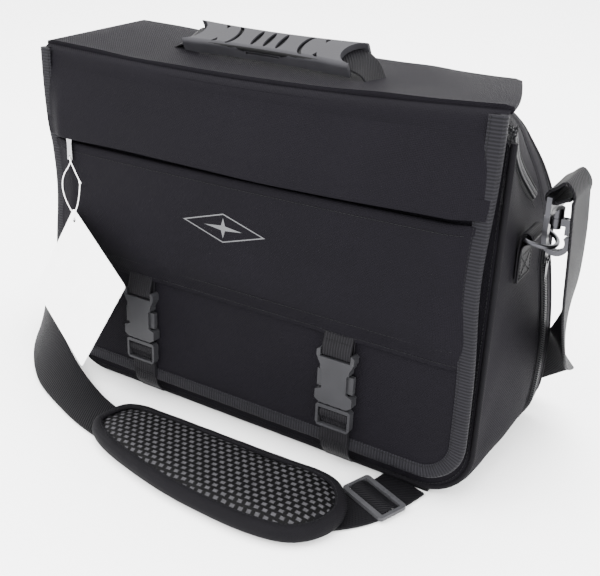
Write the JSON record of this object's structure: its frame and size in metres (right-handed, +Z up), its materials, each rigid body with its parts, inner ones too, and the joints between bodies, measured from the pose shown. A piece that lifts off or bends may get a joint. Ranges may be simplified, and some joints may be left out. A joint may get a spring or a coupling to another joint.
{
  "type": "flight bag",
  "caption": "Soft rectangular flight bag with a buckled front flap, zipped compartments, moulded-grip handle and a padded shoulder strap on swivel hooks",
  "frame": {"origin": "on the floor under the middle of the bag body", "axes": "+X runs along the bag to the right as seen from the front, the flap and buckles face -Y, +Z is up"},
  "size_m": [0.5285, 0.2909, 0.311],
  "materials": {
    "cloth": "coarse black polyester weave",
    "piping": "black piping",
    "binding": "black ribbed grosgrain binding",
    "board": "stiff base board",
    "vinyl": "clear flexible window",
    "zip": "black coil zip with tape",
    "slider": "black enamelled zip slider",
    "bright": "nickel-plated zip slider and puller",
    "grip": "dark grey moulded grip",
    "webbing": "black ribbed webbing",
    "buckle": "mid grey moulded plastic",
    "mark": "thin grey print",
    "card": "plain white card",
    "string": "thin white string",
    "metal": "dark plated steel",
    "foam": "padded cloth",
    "mesh": "anti-slip basket weave"
  },
  "bodies": {
    "bag": {"front_panel": "cloth", "front_piping": "piping", "gusset": "cloth", "upper_sides": "cloth", "wedge_gussets": "cloth", "top_cover": "cloth", "base_board": "board", "divider": "cloth", "rear_band": "cloth", "back_panel": "cloth", "organiser_pocket": "cloth", "window_pocket": "vinyl", "main_zip_chain": "zip", "side_zip_chain": "zip", "organiser_zip_chain": "zip", "ring_tabs": "webbing", "swivel_eyes": "metal", "strap_ears": "webbing", "strap_right": "webbing", "strap_front": "webbing", "strap_adjuster": "buckle"},
    "flap_top": {"flap_top_panel": "cloth"},
    "handle": {"handle_grip": "grip", "handle_webbing": "webbing"},
    "flap_front": {"flap_front_panel": "cloth", "flap_binding": "binding", "storm_band": "cloth", "flap_pocket": "cloth", "flap_zip_chain": "zip", "mark": "mark", "buckle_housings": "buckle", "webbing_upper": "webbing"},
    "flap_zip_slider_body": {"flap_zip_slider": "bright"},
    "flap_zip_puller_body": {"flap_zip_puller": "bright"},
    "tag": {"hang_tag": "card", "tag_string": "string"},
    "buckle_left": {"plug_left": "buckle", "webbing_lower_left": "webbing"},
    "buckle_right": {"plug_right": "buckle", "webbing_lower_right": "webbing"},
    "prong_left_a_body": {"prong_left_a": "buckle"},
    "prong_left_b_body": {"prong_left_b": "buckle"},
    "prong_right_a_body": {"prong_right_a": "buckle"},
    "prong_right_b_body": {"prong_right_b": "buckle"},
    "main_slider": {"main_zip_slider": "slider"},
    "organiser_slider": {"organiser_zip_slider": "slider"},
    "side_slider": {"side_zip_slider": "slider"},
    "side_puller": {"side_zip_puller": "slider"},
    "ring_right": {"d_ring_right": "metal"},
    "ring_left": {"d_ring_left": "metal"},
    "hook_right": {"snap_hook_right": "metal"},
    "hook_left": {"snap_hook_left": "metal"},
    "gate_right": {"hook_gate_right": "metal"},
    "gate_left": {"hook_gate_left": "metal"},
    "pad": {"pad_body": "foam", "pad_face": "mesh", "pad_binding": "binding", "pad_loops": "webbing"}
  },
  "joints": [
    {"name": "flap_hinge", "type": "hinge", "parent": "bag", "child": "flap_top", "pos_m": [0, 0.057, 0.292], "axis": [-1, 0, 0], "range_deg": [0, 175]},
    {"name": "flap_fold", "type": "hinge", "parent": "flap_top", "child": "flap_front", "pos_m": [0, -0.062, 0.296], "axis": [-1, 0, 0], "range_deg": [0, 175]},
    {"name": "handle_lift", "type": "slide", "parent": "flap_top", "child": "handle", "axis": [0, 0, 1], "range_m": [0, 0.03], "deforming": ["handle_webbing"]},
    {"name": "release_left", "type": "slide", "parent": "flap_front", "child": "buckle_left", "axis": [0, -0.0761, -0.9971], "range_m": [0, 0.032], "deforming": ["webbing_lower_left", "prong_left_a", "prong_left_b"]},
    {"name": "squeeze_left_a", "type": "slide", "parent": "buckle_left", "child": "prong_left_a_body", "axis": [1, 0, 0], "range_m": [0, 0.003], "stiffness_N_per_m": 1000, "springref_m": -0.0008},
    {"name": "squeeze_left_b", "type": "slide", "parent": "buckle_left", "child": "prong_left_b_body", "axis": [-1, 0, 0], "range_m": [0, 0.003], "stiffness_N_per_m": 1000, "springref_m": -0.0008},
    {"name": "release_right", "type": "slide", "parent": "flap_front", "child": "buckle_right", "axis": [0, -0.0761, -0.9971], "range_m": [0, 0.032], "deforming": ["webbing_lower_right", "prong_right_a", "prong_right_b"]},
    {"name": "squeeze_right_a", "type": "slide", "parent": "buckle_right", "child": "prong_right_a_body", "axis": [1, 0, 0], "range_m": [0, 0.003], "stiffness_N_per_m": 1000, "springref_m": -0.0008},
    {"name": "squeeze_right_b", "type": "slide", "parent": "buckle_right", "child": "prong_right_b_body", "axis": [-1, 0, 0], "range_m": [0, 0.003], "stiffness_N_per_m": 1000, "springref_m": -0.0008},
    {"name": "flap_zip_slide", "type": "slide", "parent": "flap_front", "child": "flap_zip_slider_body", "axis": [1, 0, 0], "range_m": [0, 0.33]},
    {"name": "flap_puller_swing", "type": "hinge", "parent": "flap_zip_slider_body", "child": "flap_zip_puller_body", "pos_m": [-0.165, -0.07647, 0.23392], "axis": [0, -0.9971, 0.0761], "range_deg": [-30, 30]},
    {"name": "tag_swing", "type": "hinge", "parent": "flap_zip_puller_body", "child": "tag", "pos_m": [-0.165, -0.08119, 0.21282], "axis": [0, -0.9971, 0.0761], "range_deg": [-20, 20]},
    {"name": "main_zip_slide", "type": "slide", "parent": "bag", "child": "main_slider", "axis": [1, 0, 0], "range_m": [0, 0.345]},
    {"name": "organiser_zip_slide", "type": "slide", "parent": "bag", "child": "organiser_slider", "axis": [1, 0, 0], "range_m": [0, 0.31]},
    {"name": "side_zip_slide", "type": "slide", "parent": "bag", "child": "side_slider", "axis": [0, 0, -1], "range_m": [0, 0.11]},
    {"name": "side_puller_flip", "type": "hinge", "parent": "side_slider", "child": "side_puller", "pos_m": [0.2053, 0.0445, 0.162], "axis": [0, -1, 0], "range_deg": [0, 100]},
    {"name": "ring_tilt_right", "type": "hinge", "parent": "bag", "child": "ring_right", "pos_m": [0.2088, -0.014, 0.2036], "axis": [0, -1, 0], "range_deg": [0, 14]},
    {"name": "hook_swivel_right", "type": "hinge", "parent": "bag", "child": "hook_right", "pos_m": [0.22399, -0.014, 0.2165], "axis": [0, 0, 1], "range_deg": [-20, 20]},
    {"name": "gate_right", "type": "hinge", "parent": "hook_right", "child": "gate_right", "pos_m": [0.23219, -0.014, 0.2165], "axis": [0, 1, 0], "range_deg": [0, 25], "stiffness_Nm_per_rad": 0.02, "springref_deg": -17.19},
    {"name": "ring_tilt_left", "type": "hinge", "parent": "bag", "child": "ring_left", "pos_m": [-0.2088, -0.014, 0.2036], "axis": [0, 1, 0], "range_deg": [0, 14]},
    {"name": "hook_swivel_left", "type": "hinge", "parent": "bag", "child": "hook_left", "pos_m": [-0.22399, -0.014, 0.2165], "axis": [0, 0, 1], "range_deg": [-20, 20]},
    {"name": "gate_left", "type": "hinge", "parent": "hook_left", "child": "gate_left", "pos_m": [-0.23219, -0.014, 0.2165], "axis": [0, -1, 0], "range_deg": [0, 25], "stiffness_Nm_per_rad": 0.02, "springref_deg": -17.19},
    {"name": "pad_slide", "type": "slide", "parent": "bag", "child": "pad", "axis": [0.999, -0.0436, 0], "range_m": [-0.015, 0.004]}
  ],
  "couplings": [
    {"joint": "squeeze_left_b", "follows": "squeeze_left_a", "ratio": 1},
    {"joint": "squeeze_right_b", "follows": "squeeze_right_a", "ratio": 1}
  ]
}
